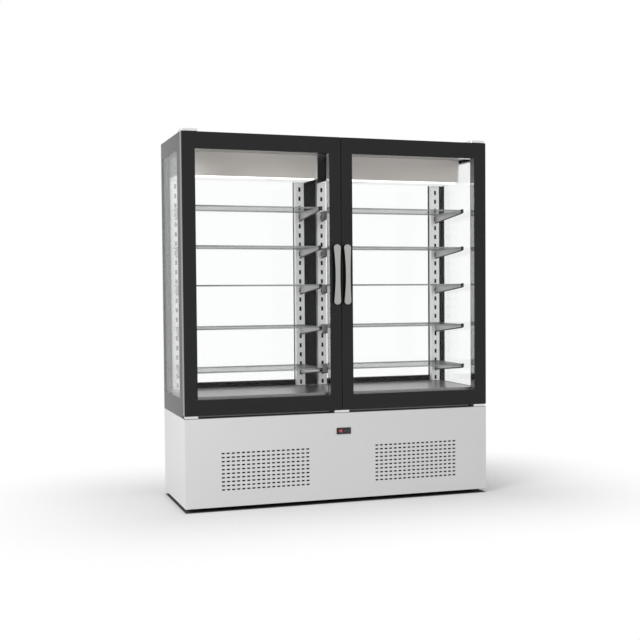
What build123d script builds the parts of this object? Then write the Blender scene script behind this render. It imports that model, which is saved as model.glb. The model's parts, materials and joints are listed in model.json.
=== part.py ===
"""Refrigerated display case with two hinged glass doors, as separate pieces.

Millimetres, +Z up. The front faces -Y, the left door is on the -X side.
The origin is on the floor under the middle of the whole case, handles included.
"""
import os
from build123d import *

# Overall size
case_width = 1600
case_depth = 600
case_top = 1850
foot_height = 20
base_height = 440
handle_projection = 30

# Clearances
seat_gap = 0.3
shaft_clearance = 0.05
pin_clearance = 0.1
key_clearance = 0.15

# Sheet metal
sheet = 1.5

# Doors
door_thickness = 52
door_front_skin = 4
door_trim_wall = 1.2
door_back_gap = 6
door_middle_gap = 4
door_top_gap = 2
hinge_gap = 12
outer_stile = 65
inner_stile = 58
bottom_rail = 79
top_rail = 82
pane_thickness = 4
spacer_wall = 2
gasket_width = 14
gasket_inset = 22
gasket_outer_inset = 20
gasket_inner_inset = 14

# Hinges and catch
pivot_inset = 16
pin_radius = 5
pin_length = 18
bore_spare = 2
hinge_plate_length = 76
hinge_plate_depth = 118
hinge_plate_inset = 4
top_plate_thickness = 12
bottom_plate_length = 64
bottom_plate_depth = 44
catch_length = 79
catch_depth = 38

# Handles
handle_length = 303
handle_end_width = 36
handle_waist_width = 24
handle_band = 6
handle_end_offset = 20
handle_spacing = 54
handle_height = 1159
handle_post_radius = 6
handle_post_spacing = 236

# Walls of the glazed case
wall_thickness = 24
side_front_border = 68
side_rear_border = 38
side_bottom_border = 92
side_top_border = 83
rear_bottom_border = 129
deck_height = 100
deck_recess = 2
deck_rim = 12
top_panel_height = 65

# Shelving
shelf_tops = (675, 892, 1110, 1308, 1508)
shelf_thickness = 8
shelf_front_setback = 168
shelf_rear_gap = 8
shelf_overhang = 12
standard_width = 48
standard_depth = 29
standard_wall = 2
standard_slot_width = 12
standard_slot_height = 23
standard_slot_pitch = 50
first_slot_height = 18
inner_standard_x = 62
outer_standard_inset = 63
bracket_sheet = 3
bracket_flange_width = 16
bracket_flange = 2
bracket_rear_height = 44
bracket_front_height = 10
bracket_tab_height = 10
bracket_tab_length = 6
bracket_tab_reach = 6
end_cap_length = 6
end_cap_width = 14
end_cap_lip = 3

# Header with the evaporator
header_end_inset = 28
header_inner_x = 37
header_setback = 285
header_rear_gap = 7
header_height = 120
light_depth = 14
light_height = 8
light_end_gap = 20
light_front_gap = 6
evaporator_fan_radius = 42
evaporator_frame_size = 92
evaporator_frame_height = 25
evaporator_fan_x = 240
evaporator_length = 300
evaporator_depth = 90
evaporator_height = 64
evaporator_inset = 260
guard_slot_width = 5
guard_slot_count = 12
guard_hub_radius = 12
evaporator_hub_radius = 14

# Base
slot_columns = 18
slot_rows = 10
slot_pitch_x = 25.3
slot_pitch_z = 19.9
slot_length = 17
slot_height = 8
grille_inset = 401
grille_centre_height = 174
base_post = 30
base_floor = 2
vent_slots = 12
vent_slot_length = 180
vent_slot_height = 6
vent_slot_pitch = 16
vent_inset = 370
foot_radius = 22
foot_inset = 130
foot_stem_radius = 6

# Controller
controller_x = 6
controller_height = 366
bezel_width = 76
bezel_height = 33
bezel_thickness = 3
body_width = 71
body_height = 29
body_depth = 58
display_width = 27
display_height = 20
display_x = -20
display_thickness = 1
key_count = 4
key_width = 6
key_height = 9
key_pitch = 9
first_key_x = 2
key_travel = 0.6
key_proud = 0.9
key_depth = 2.4

# Machinery
condenser_inset = 330
condenser_width = 340
condenser_depth = 44
condenser_height = 270
condenser_setback = 60
fin_pitch = 20
fin_thickness = 3
fin_core = 8
shroud_depth = 36
shroud_wall = 2
fan_radius = 104
fan_tip_gap = 4
fan_hub_radius = 28
fan_hub_length = 22
fan_blades = 5
blade_angle = 18
blade_thickness = 2.5
blade_chord_share = 0.5
motor_radius = 34
motor_length = 60
motor_gap = 4
shaft_radius = 4
motor_arm_width = 16
compressor_inset = 420
compressor_radius = 88
compressor_height = 190
compressor_dome = 46
compressor_foot = 22
compressor_foot_radius = 12
tray_width = 300
tray_depth = 220
tray_height = 45
tray_wall = 2
inlet_width = 28
inlet_height = 20
inlet_flange_width = 50
inlet_flange_height = 30
inlet_depth = 24
inlet_flange_thickness = 2.5
inlet_inset = 160
inlet_height_above_base = 60
inlet_pin_width = 2
inlet_pin_height = 4
inlet_pin_length = 10

# Places that follow from the sizes
half_width = case_width / 2
door_front = -(case_depth + handle_projection) / 2 + handle_projection
door_back = door_front + door_thickness
case_front = door_back + door_back_gap
case_back = door_front + case_depth
rear_inner = case_back - wall_thickness
side_inner = half_width - wall_thickness
base_top = foot_height + base_height
door_bottom = base_top + hinge_gap
door_top = case_top - door_top_gap
deck_top = base_top + deck_height
ceiling = case_top - top_panel_height
header_bottom = ceiling - header_height
header_front = door_front + header_setback
header_back = rear_inner - standard_depth - header_rear_gap
standard_front = rear_inner - standard_depth
shelf_front = door_front + shelf_front_setback
shelf_back = standard_front - shelf_rear_gap
pivot_x = half_width - pivot_inset
pivot_y = door_front + pivot_inset
outer_standard_x = half_width - outer_standard_inset
evaporator_centre_x = half_width - evaporator_inset
grille_centre_x = half_width - grille_inset
vent_centre_x = half_width - vent_inset
condenser_x = -half_width + condenser_inset
compressor_x = half_width - compressor_inset
inlet_x = half_width - inlet_inset
bottom_aligned = (Align.CENTER, Align.CENTER, Align.MIN)


def block(x_range, y_range, z_range):
    """Box between two opposite corners."""
    size = [high - low for low, high in (x_range, y_range, z_range)]
    middle = [(high + low) / 2 for low, high in (x_range, y_range, z_range)]
    return Pos(*middle) * Box(*size)


def grow(span, amount):
    """A range made longer by the same amount at both ends."""
    return (span[0] - amount, span[1] + amount)


def mirrored(piece):
    """The same piece for the other half of the case."""
    return mirror(piece, about=Plane.YZ)


# Spans of the left door
door_x = (-half_width, -door_middle_gap / 2)
door_z = (door_bottom, door_top)
window_x = (door_x[0] + outer_stile, door_x[1] - inner_stile)
window_z = (door_z[0] + bottom_rail, door_z[1] - top_rail)


def door_bores():
    """Holes for the hinge pins, at the top and the bottom of the left door."""
    depth = pin_length + bore_spare
    hole = Cylinder(pin_radius + pin_clearance, depth, align=bottom_aligned)
    lower = Pos(-pivot_x, pivot_y, door_bottom) * hole
    upper = Pos(-pivot_x, pivot_y, door_top - depth) * hole
    return lower + upper


def door_frame():
    """Printed border and the body of the door behind it."""
    skin_y = (door_front, door_front + door_front_skin)
    skin = block(door_x, skin_y, door_z) - block(window_x, skin_y, window_z)
    body_y = (skin_y[1], door_back)
    body = block(grow(door_x, -door_trim_wall), body_y, grow(door_z, -door_trim_wall))
    body -= block(grow(window_x, spacer_wall), body_y, grow(window_z, spacer_wall))
    return skin + body - door_bores()


def door_edge_trim():
    """Thin metal profile round the edge of the door."""
    trim_y = (door_front + door_front_skin, door_back)
    trim = block(door_x, trim_y, door_z)
    trim -= block(grow(door_x, -door_trim_wall), trim_y, grow(door_z, -door_trim_wall))
    return trim - door_bores()


def door_spacer():
    """Polished profile that lines the window between the panes."""
    spacer_y = (door_front + door_front_skin, door_back)
    spacer = block(grow(window_x, spacer_wall), spacer_y, grow(window_z, spacer_wall))
    return spacer - block(window_x, spacer_y, window_z)


def door_glass():
    """Outer and inner pane of the double glazing."""
    pane_x = grow(window_x, -seat_gap)
    pane_z = grow(window_z, -seat_gap)
    outer_y = (door_front + seat_gap, door_front + seat_gap + pane_thickness)
    inner_y = (door_back - seat_gap - pane_thickness, door_back - seat_gap)
    return Compound(children=[block(pane_x, outer_y, pane_z), block(pane_x, inner_y, pane_z)])


def door_gasket():
    """Magnetic gasket round the rear face of the door."""
    gasket_y = (door_back, case_front - seat_gap)
    outer_x = (door_x[0] + gasket_outer_inset, door_x[1] - gasket_inner_inset)
    outer_z = grow(door_z, -gasket_inset)
    ring = block(outer_x, gasket_y, outer_z)
    return ring - block(grow(outer_x, -gasket_width), gasket_y, grow(outer_z, -gasket_width))


def door_handle():
    """Waisted metal band that bows away from the door on two posts."""
    half = handle_length / 2
    reach = half + handle_band
    end_y = -handle_end_offset
    middle_y = -handle_projection
    with BuildSketch(Plane.YZ) as side_view:
        with BuildLine():
            outer = ThreePointArc((end_y, -reach), (middle_y, 0), (end_y, reach))
            inner = ThreePointArc(
                (end_y + handle_band, reach), (middle_y + handle_band, 0), (end_y + handle_band, -reach)
            )
            Line(outer @ 1, inner @ 0)
            Line(inner @ 1, outer @ 0)
        make_face()
    band = extrude(side_view.sketch, amount=handle_end_width, both=True)
    end_radius = handle_end_width / 2
    straight = half - end_radius
    with BuildSketch(Plane.XZ) as front_view:
        with BuildLine():
            right = ThreePointArc(
                (end_radius, -straight), (handle_waist_width / 2, 0), (end_radius, straight)
            )
            top = ThreePointArc(right @ 1, (0, half), (-end_radius, straight))
            left = ThreePointArc(
                top @ 1, (-handle_waist_width / 2, 0), (-end_radius, -straight)
            )
            ThreePointArc(left @ 1, (0, -half), right @ 0)
        make_face()
    band = band & extrude(front_view.sketch, amount=2 * handle_projection, both=True)
    post_length = handle_projection - handle_band / 2 - (handle_projection - handle_end_offset) / 2
    post = Rot(90, 0, 0) * Cylinder(handle_post_radius, post_length, align=bottom_aligned)
    for side in (-1, 1):
        band += Pos(0, 0, side * handle_post_spacing / 2) * post
    return Pos(-handle_spacing / 2, door_front, handle_height) * band


def top_hinge_plate():
    """Plate on the roof with a pin that goes down into the door."""
    plate_x = (-half_width + hinge_plate_inset, -half_width + hinge_plate_inset + hinge_plate_length)
    plate_y = (door_front + hinge_plate_inset, door_front + hinge_plate_inset + hinge_plate_depth)
    plate = block(plate_x, plate_y, (case_top, case_top + top_plate_thickness))
    plate = chamfer(plate.edges().filter_by(Axis.Z), hinge_plate_inset / 2)
    reach = pin_length + door_top_gap
    pin = Cylinder(pin_radius, reach, align=bottom_aligned)
    return plate + Pos(-pivot_x, pivot_y, case_top - reach) * pin


def bottom_hinge_plate():
    """Plate on the base with a pin that goes up into the door."""
    plate_x = (-half_width + hinge_plate_inset, -half_width + hinge_plate_inset + bottom_plate_length)
    plate_y = (door_front + hinge_plate_inset, door_front + hinge_plate_inset + bottom_plate_depth)
    plate_top = door_bottom - seat_gap
    plate = block(plate_x, plate_y, (base_top, plate_top))
    plate = chamfer(plate.edges().filter_by(Axis.Z), hinge_plate_inset / 2)
    pin = Cylinder(pin_radius, pin_length, align=bottom_aligned)
    return plate + Pos(-pivot_x, pivot_y, plate_top) * pin


def door_catch():
    """Catch plate in the gap under the two closing edges of the doors."""
    catch_y = (door_front + hinge_plate_inset, door_front + hinge_plate_inset + catch_depth)
    plate = block((-catch_length / 2, catch_length / 2), catch_y, (base_top, door_bottom - seat_gap))
    return chamfer(plate.edges().filter_by(Axis.Z), hinge_plate_inset / 2)


# Window of the side walls
side_window_y = (case_front + side_front_border, case_back - side_rear_border)
side_window_z = (base_top + side_bottom_border, case_top - side_top_border)


def side_frame():
    """Bordered frame of the left side wall."""
    wall_x = (-half_width, -side_inner)
    frame = block(wall_x, (case_front, case_back), (base_top, case_top))
    return frame - block(wall_x, side_window_y, side_window_z)


def side_glass():
    """Outer and inner pane of the left side wall."""
    pane_y = grow(side_window_y, -seat_gap)
    pane_z = grow(side_window_z, -seat_gap)
    outer_x = (-half_width + seat_gap, -half_width + seat_gap + pane_thickness)
    inner_x = (-side_inner - seat_gap - pane_thickness, -side_inner - seat_gap)
    return [block(outer_x, pane_y, pane_z), block(inner_x, pane_y, pane_z)]


# Left window of the rear wall: the border hides behind the shelf standards
rear_window_x = (-outer_standard_x + standard_width / 2, -inner_standard_x - standard_width / 2)
rear_window_z = (base_top + rear_bottom_border, case_top - side_top_border)


def rear_frame():
    """Bordered frame of the rear wall with its middle post."""
    wall_y = (rear_inner, case_back)
    frame = block((-side_inner, side_inner), wall_y, (base_top, case_top))
    opening = block(rear_window_x, wall_y, rear_window_z)
    return frame - opening - mirrored(opening)


def rear_glass():
    """Panes of the two rear windows."""
    pane_x = grow(rear_window_x, -seat_gap)
    pane_z = grow(rear_window_z, -seat_gap)
    inner_y = (rear_inner + seat_gap, rear_inner + seat_gap + pane_thickness)
    outer_y = (case_back - seat_gap - pane_thickness, case_back - seat_gap)
    panes = [block(pane_x, inner_y, pane_z), block(pane_x, outer_y, pane_z)]
    return Compound(children=panes + [mirrored(pane) for pane in panes])


def deck():
    """Insulated floor of the display space, with a shallow tray in its top."""
    body = block((-side_inner, side_inner), (case_front, rear_inner), (base_top, deck_top))
    tray_x = (-side_inner + deck_rim, side_inner - deck_rim)
    tray_y = (case_front + deck_rim, standard_front - deck_rim)
    return body - block(tray_x, tray_y, (deck_top - deck_recess, deck_top))


def top_panel():
    """Insulated roof of the case."""
    roof = block((-side_inner, side_inner), (case_front, rear_inner), (ceiling, case_top))
    return roof


def shelf(bay_side, top):
    """Glass shelf of one bay, laid on its two brackets."""
    near = inner_standard_x - shelf_overhang
    far = outer_standard_x + shelf_overhang
    span = (-far, -near) if bay_side < 0 else (near, far)
    plate = block(span, (shelf_front, shelf_back), (top - shelf_thickness, top))
    return fillet(plate.edges().filter_by(Axis.Z), shelf_thickness / 2)


def slot_heights():
    """Middle heights of the slots in a standard."""
    first = deck_top + first_slot_height
    room = ceiling - first - standard_slot_height
    return [first + index * standard_slot_pitch for index in range(int(room // standard_slot_pitch) + 1)]


def slotted_standard(x):
    """Upright channel with a column of slots for the brackets."""
    with BuildSketch(Plane.XY) as section:
        with BuildLine():
            half = standard_width / 2
            Polyline(
                (-half, rear_inner),
                (-half, standard_front),
                (half, standard_front),
                (half, rear_inner),
                (half - standard_wall, rear_inner),
                (half - standard_wall, standard_front + standard_wall),
                (-half + standard_wall, standard_front + standard_wall),
                (-half + standard_wall, rear_inner),
                close=True,
            )
        make_face()
    channel = Pos(0, 0, deck_top) * extrude(section.sketch, amount=ceiling - deck_top)
    slot_x = (-standard_slot_width / 2, standard_slot_width / 2)
    slot_y = (standard_front, standard_front + standard_wall)
    half_slot = standard_slot_height / 2
    slots = [block(slot_x, slot_y, (z - half_slot, z + half_slot)) for z in slot_heights()]
    return Pos(x, 0, 0) * (channel - slots)


def shelf_bracket(x, top):
    """Tapered cantilever arm with a flange under the glass and a tab in its slot."""
    seat = top - shelf_thickness
    tip = shelf_front - seat_gap
    with BuildSketch(Plane.YZ) as arm_view:
        with BuildLine():
            Polyline(
                (standard_front, seat),
                (standard_front, seat - bracket_rear_height),
                (tip, seat - bracket_front_height),
                (tip, seat),
                close=True,
            )
        make_face()
    arm = extrude(arm_view.sketch, amount=bracket_sheet / 2, both=True)
    half_flange = bracket_flange_width / 2
    arm += block((-half_flange, half_flange), (tip, standard_front), (seat - bracket_flange, seat))
    tab_z = max(z for z in slot_heights() if z <= seat - bracket_tab_reach)
    tab_y = (standard_front, standard_front + standard_wall + bracket_tab_length)
    half_tab = bracket_tab_height / 2
    arm += block((-bracket_sheet / 2, bracket_sheet / 2), tab_y, (tab_z - half_tab, tab_z + half_tab))
    return Pos(x, 0, 0) * arm


def bracket_end_cap(x, top):
    """Soft cap on the tip of a bracket that keeps the shelf from sliding out."""
    tip = shelf_front - seat_gap
    seat = top - shelf_thickness
    half = end_cap_width / 2
    cap_z = (seat - bracket_front_height, top + end_cap_lip)
    return block((x - half, x + half), (tip - end_cap_length, tip), cap_z)


# Left header
header_x = (-half_width + header_end_inset, -header_inner_x)
header_y = (header_front, header_back)


def header_cover():
    """Folded sheet housing under the roof with the fan guard in its floor."""
    shell = block(header_x, header_y, (header_bottom, ceiling))
    shell -= block(grow(header_x, -sheet), grow(header_y, -sheet), (header_bottom + sheet, ceiling))
    length = evaporator_fan_radius - guard_hub_radius
    slot = Box(length, guard_slot_width, sheet, align=(Align.MIN, Align.CENTER, Align.MIN))
    fan_place = Pos(-evaporator_fan_x, (header_front + header_back) / 2, header_bottom)
    for turn in range(guard_slot_count):
        shell -= fan_place * Rot(0, 0, turn * 360 / guard_slot_count) * Pos(guard_hub_radius, 0, 0) * slot
    frame = Box(evaporator_frame_size, evaporator_frame_size, evaporator_frame_height, align=bottom_aligned)
    frame -= Cylinder(evaporator_fan_radius + fan_tip_gap / 2, evaporator_frame_height, align=bottom_aligned)
    frame_place = fan_place * Pos(0, 0, sheet)
    shaft = Cylinder(shaft_radius, evaporator_frame_height, align=bottom_aligned)
    return shell + frame_place * frame + frame_place * shaft


def finned_coil(length, depth, height):
    """Stack of fins on a core, with an end plate at both ends, standing on z = 0."""
    count = int(length // fin_pitch)
    comb = Box(length, fin_core, height, align=bottom_aligned)
    first = -(count - 1) * fin_pitch / 2
    fin = Box(fin_thickness, depth, height, align=bottom_aligned)
    for index in range(count):
        comb += Pos(first + index * fin_pitch, 0, 0) * fin
    for side in (-1, 1):
        comb += Pos(side * (length - fin_thickness) / 2, 0, 0) * fin
    return comb


def evaporator_coils():
    """Cooling coils inside the two headers, hung from the roof."""
    coil = finned_coil(evaporator_length, evaporator_depth, evaporator_height)
    place_y = (header_front + header_back) / 2
    left = Pos(-evaporator_centre_x, place_y, ceiling - evaporator_height) * coil
    return Compound(children=[left, mirrored(left)])


def fan_rotor(radius, hub_radius, hub_length, tilt):
    """Hub with tilted blades, axis along Z, hub standing on z = 0."""
    hub = Cylinder(hub_radius, hub_length, align=bottom_aligned)
    chord = radius * blade_chord_share
    length = (radius**2 - (chord / 2) ** 2) ** 0.5
    blade = Box(length, chord, blade_thickness, align=(Align.MIN, Align.CENTER, Align.CENTER))
    middle = Pos(0, 0, hub_length / 2)
    rotor = hub
    for turn in range(fan_blades):
        rotor += middle * Rot(0, 0, turn * 360 / fan_blades) * Rot(tilt, 0, 0) * blade
    return rotor - Cylinder(shaft_radius + shaft_clearance, hub_length, align=bottom_aligned)


def evaporator_fan():
    """Small fan in the left header."""
    hub_length = evaporator_frame_height - 2 * motor_gap
    rotor = fan_rotor(evaporator_fan_radius, evaporator_hub_radius, hub_length, blade_angle)
    place_y = (header_front + header_back) / 2
    return Pos(-evaporator_fan_x, place_y, header_bottom + sheet + motor_gap) * rotor


def light_strips():
    """Light bars under the front edge of the headers."""
    bar_y = (header_front + light_front_gap, header_front + light_front_gap + light_depth)
    bar = block(grow(header_x, -light_end_gap), bar_y, (header_bottom - light_height, header_bottom))
    bar = fillet(bar.edges().filter_by(Axis.X).group_by(Axis.Z)[0], light_height / 3)
    return Compound(children=[bar, mirrored(bar)])


def base_chassis():
    """Floor pan, corner posts and top sheet that carry the glazed case."""
    inner_x = (-half_width + sheet, half_width - sheet)
    inner_y = (door_front + sheet, case_back - sheet)
    frame = block(inner_x, inner_y, (foot_height, foot_height + base_floor))
    frame += block((-half_width, half_width), (door_front, case_back), (base_top - base_floor, base_top))
    post_z = (foot_height, base_top)
    for x0 in (inner_x[0], inner_x[1] - base_post):
        for y0 in (inner_y[0], inner_y[1] - base_post):
            frame += block((x0, x0 + base_post), (y0, y0 + base_post), post_z)
    return frame


def base_front_panel():
    """Front sheet with two fields of punched slots and the controller opening."""
    panel_z = (foot_height, base_top - base_floor)
    panel = block((-half_width, half_width), (door_front, door_front + sheet), panel_z)
    slot = Box(slot_length, 2 * sheet, slot_height)
    slots = []
    for field_x in (-grille_centre_x, grille_centre_x):
        for column in range(slot_columns):
            for row in range(slot_rows):
                x = field_x + (column - (slot_columns - 1) / 2) * slot_pitch_x
                z = foot_height + grille_centre_height + (row - (slot_rows - 1) / 2) * slot_pitch_z
                slots.append(Pos(x, door_front + sheet / 2, z) * slot)
    opening = Pos(controller_x, door_front + sheet / 2, controller_height)
    opening *= Box(body_width + 2 * seat_gap, 2 * sheet, body_height + 2 * seat_gap)
    return panel - slots - opening


def base_side_panel():
    """Left side sheet of the base, between the front and the rear sheet."""
    y_span = (door_front + sheet, case_back - sheet)
    return block((-half_width, -half_width + sheet), y_span, (foot_height, base_top - base_floor))


def base_rear_panel():
    """Rear sheet with two fields of vent slots and the power inlet opening."""
    rear_y = (case_back - sheet, case_back)
    panel = block((-half_width, half_width), rear_y, (foot_height, base_top - base_floor))
    slot = Box(vent_slot_length, 2 * sheet, vent_slot_height)
    slots = []
    for field_x in (-vent_centre_x, vent_centre_x):
        for row in range(vent_slots):
            z = foot_height + base_height / 2 + (row - (vent_slots - 1) / 2) * vent_slot_pitch
            slots.append(Pos(field_x, case_back - sheet / 2, z) * slot)
    inlet_z = foot_height + inlet_height_above_base
    opening = Pos(inlet_x, case_back - sheet / 2, inlet_z)
    opening *= Box(inlet_width + 2 * seat_gap, 2 * sheet, inlet_height + 2 * seat_gap)
    return panel - slots - opening


def power_inlet():
    """Three-pin appliance inlet with its flange on the rear sheet."""
    inlet_z = foot_height + inlet_height_above_base
    flange_y = (case_back - sheet - inlet_flange_thickness, case_back - sheet)
    half_flange = inlet_flange_width / 2
    half_rise = inlet_flange_height / 2
    x_span = (inlet_x - half_flange, inlet_x + half_flange)
    body = block(x_span, flange_y, (inlet_z - half_rise, inlet_z + half_rise))
    shell_x = (inlet_x - inlet_width / 2, inlet_x + inlet_width / 2)
    shell_z = (inlet_z - inlet_height / 2, inlet_z + inlet_height / 2)
    body += block(shell_x, (case_back - inlet_depth, case_back), shell_z)
    cavity = (case_back - inlet_depth + tray_wall, case_back)
    body -= block(grow(shell_x, -tray_wall), cavity, grow(shell_z, -tray_wall))
    pin = Box(inlet_pin_width, inlet_pin_length, inlet_pin_height, align=(Align.CENTER, Align.MIN, Align.CENTER))
    for offset in (-1, 0, 1):
        body += Pos(inlet_x + offset * inlet_width / 4, cavity[0], inlet_z) * pin
    return body


def levelling_feet():
    """Six adjustable feet, set well in from the edges."""
    sole = Cylinder(foot_radius, foot_height / 2, align=bottom_aligned)
    stem = Cylinder(foot_stem_radius, foot_height, align=bottom_aligned)
    foot = sole + stem
    places = []
    for x in (-half_width + foot_inset, 0, half_width - foot_inset):
        for y in (door_front + foot_inset, case_back - foot_inset):
            places.append(Pos(x, y, 0) * foot)
    return Compound(children=places)


def condenser_coil():
    """Finned condenser behind the left field of slots."""
    coil = finned_coil(condenser_width, condenser_depth, condenser_height)
    place_y = door_front + condenser_setback + condenser_depth / 2
    return Pos(condenser_x, place_y, foot_height + base_floor) * coil


# Condenser fan
shroud_front = door_front + condenser_setback + condenser_depth
fan_centre_z = foot_height + base_floor + condenser_height / 2
fan_front = shroud_front + (shroud_depth - fan_hub_length) / 2 + shroud_wall


def fan_shroud():
    """Plate with a round duct behind the condenser, carrying the fan motor on arms."""
    half = condenser_width / 2
    floor = foot_height + base_floor
    span_x = (condenser_x - half, condenser_x + half)
    shroud_y = (shroud_front, shroud_front + shroud_depth)
    shroud = block(span_x, shroud_y, (floor, floor + condenser_height))
    inner_y = (shroud_front, shroud_y[1] - shroud_wall)
    shroud -= block(grow(span_x, -shroud_wall), inner_y, grow((floor, floor + condenser_height), -shroud_wall))
    centre = Pos(condenser_x, shroud_front, fan_centre_z) * Rot(-90, 0, 0)
    duct_radius = fan_radius + fan_tip_gap
    shroud += centre * Cylinder(duct_radius + shroud_wall, shroud_depth, align=bottom_aligned)
    shroud -= centre * Cylinder(duct_radius, shroud_depth, align=bottom_aligned)
    motor_start = fan_front - shroud_front + fan_hub_length + motor_gap
    arm = Box(2 * duct_radius + shroud_wall, motor_arm_width, shroud_wall, align=bottom_aligned)
    arm_level = centre * Pos(0, 0, motor_start)
    shroud += arm_level * arm
    shroud += arm_level * Rot(0, 0, 90) * arm
    lug = Box(motor_arm_width, motor_arm_width, motor_start + shroud_wall, align=bottom_aligned)
    for turn in range(4):
        lug_place = centre * Rot(0, 0, 90 * turn) * Pos(duct_radius + motor_arm_width / 2, 0, 0)
        shroud += lug_place * lug
    shroud += arm_level * Cylinder(motor_radius, motor_length, align=bottom_aligned)
    shaft_length = fan_hub_length + motor_gap
    shaft = Cylinder(shaft_radius, shaft_length, align=bottom_aligned)
    shroud += centre * Pos(0, 0, motor_start - shaft_length) * shaft
    return shroud


def condenser_fan():
    """Axial fan that draws air through the condenser."""
    rotor = fan_rotor(fan_radius, fan_hub_radius, fan_hub_length, blade_angle)
    return Pos(condenser_x, fan_front, fan_centre_z) * Rot(-90, 0, 0) * rotor


def compressor():
    """Hermetic compressor: a domed pot on four feet."""
    radius = compressor_radius
    pot = Cylinder(radius, compressor_height - compressor_foot, align=bottom_aligned)
    pot = chamfer(pot.edges().group_by(Axis.Z)[-1], compressor_dome / 2, compressor_dome)
    pot = chamfer(pot.edges().group_by(Axis.Z)[0], compressor_dome / 2)
    pot = Pos(0, 0, compressor_foot) * pot
    foot = Cylinder(compressor_foot_radius, compressor_foot, align=bottom_aligned)
    bar = Box(2 * radius, 3 * compressor_foot_radius, sheet * 2, align=bottom_aligned)
    spread = radius - compressor_foot_radius
    for side_y in (-1, 1):
        y = side_y * radius / 2
        pot += Pos(0, y, compressor_foot) * bar
        for side_x in (-1, 1):
            pot += Pos(side_x * spread, y, 0) * foot
    return Pos(compressor_x, 0, foot_height + base_floor) * pot


def condensate_tray():
    """Open tray on the floor pan that catches melt water."""
    floor = foot_height + base_floor
    x_span = (-tray_width / 2, tray_width / 2)
    y_span = (-tray_depth / 2, tray_depth / 2)
    tray = block(x_span, y_span, (floor, floor + tray_height))
    tray -= block(grow(x_span, -tray_wall), grow(y_span, -tray_wall), (floor + tray_wall, floor + tray_height))
    return tray


# Controller
bezel_front = door_front - bezel_thickness


def key_centre(index):
    """Place of a key along the bezel."""
    return controller_x + first_key_x + key_width / 2 + index * key_pitch


def controller_housing():
    """Bezel on the front sheet and the body behind it, with pockets for display and keys."""
    half_w = bezel_width / 2
    half_h = bezel_height / 2
    bezel_x = (controller_x - half_w, controller_x + half_w)
    bezel_z = (controller_height - half_h, controller_height + half_h)
    bezel = block(bezel_x, (bezel_front, door_front), bezel_z)
    bezel = chamfer(bezel.faces().sort_by(Axis.Y)[0].edges(), bezel_thickness / 4)
    body_x = (controller_x - body_width / 2, controller_x + body_width / 2)
    body_z = (controller_height - body_height / 2, controller_height + body_height / 2)
    housing = bezel + block(body_x, (door_front, door_front + body_depth), body_z)
    centre = controller_x + display_x
    window_x = (centre - display_width / 2, centre + display_width / 2)
    window_z = (controller_height - display_height / 2, controller_height + display_height / 2)
    housing -= block(window_x, (bezel_front, bezel_front + display_thickness), window_z)
    pocket_depth = key_depth - key_proud + key_travel + seat_gap
    for index in range(key_count):
        half_kw = key_width / 2 + key_clearance
        half_kh = key_height / 2 + key_clearance
        pocket_x = (key_centre(index) - half_kw, key_centre(index) + half_kw)
        pocket_z = (controller_height - half_kh, controller_height + half_kh)
        housing -= block(pocket_x, (bezel_front, bezel_front + pocket_depth), pocket_z)
    return housing


def controller_display():
    """Dark window of the digits."""
    centre = controller_x + display_x
    half_w = display_width / 2 - key_clearance
    half_h = display_height / 2 - key_clearance
    window_z = (controller_height - half_h, controller_height + half_h)
    return block((centre - half_w, centre + half_w), (bezel_front, bezel_front + display_thickness), window_z)


def controller_key(index):
    """Push key in its pocket."""
    x_span = (key_centre(index) - key_width / 2, key_centre(index) + key_width / 2)
    z_span = (controller_height - key_height / 2, controller_height + key_height / 2)
    key = block(x_span, (bezel_front - key_proud, bezel_front - key_proud + key_depth), z_span)
    return chamfer(key.faces().sort_by(Axis.Y)[0].edges(), key_proud / 3)


def both(piece):
    """A piece and its mirror image in one group."""
    return Compound(children=[piece, mirrored(piece)])


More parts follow.
